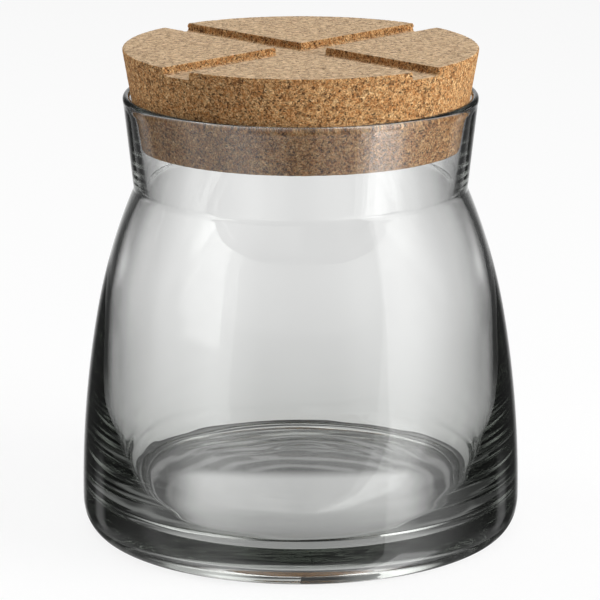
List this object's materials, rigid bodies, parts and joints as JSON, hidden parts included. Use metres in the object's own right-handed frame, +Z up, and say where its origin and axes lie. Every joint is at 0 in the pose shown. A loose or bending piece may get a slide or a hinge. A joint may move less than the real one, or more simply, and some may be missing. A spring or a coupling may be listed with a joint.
{
  "type": "glass jar with cork lid",
  "caption": "Round smoke-tinted glass storage jar with a heavy base, curved shoulder and short flared neck, closed by a tapered cork lid with crossed grooves.",
  "frame": {"origin": "centre of the jar's foot, on the plane that it stands on", "axes": "+Z up along the jar's axis; the lid's crossed grooves run along the diagonals of X and Y, and -Y is the front of the pictured view"},
  "size_m": [0.1282, 0.1282, 0.1415],
  "materials": {
    "smoke_glass": "clear polished, smoke grey tint",
    "cork": "pressed cork granules, sanded, unsealed"
  },
  "bodies": {
    "jar": {"glass_jar": "smoke_glass"},
    "lid": {"cork_lid": "cork"}
  },
  "joints": [
    {"name": "lid_lift", "type": "slide", "parent": "jar", "child": "lid", "axis": [0, 0, 1], "range_m": [0, 0.15]}
  ]
}
